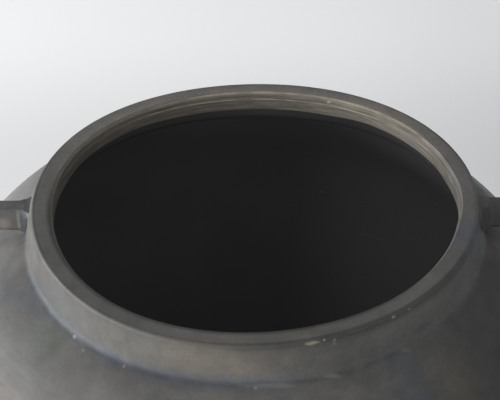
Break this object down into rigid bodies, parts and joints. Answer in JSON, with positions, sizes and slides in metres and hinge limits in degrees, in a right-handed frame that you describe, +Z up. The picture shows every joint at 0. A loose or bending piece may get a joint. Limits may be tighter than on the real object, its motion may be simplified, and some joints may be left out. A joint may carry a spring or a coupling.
{
  "type": "double ear vase",
  "caption": "Wide-mouthed metal vase with a high shoulder, a short collar, a flat thick rim and a square loop ear on each side.",
  "frame": {"origin": "middle of the foot, on the surface that the vase stands on", "axes": "+Z up through the mouth; the ears leave the collar along +X and -X; +Y is to the side"},
  "size_m": [0.274, 0.264, 0.27],
  "materials": {
    "patinated_metal": "satin dark grey-brown patina, finely brushed, paler and tan at worn edges, flat black inside"
  },
  "bodies": {
    "root": {"vase": "patinated_metal"}
  },
  "joints": []
}
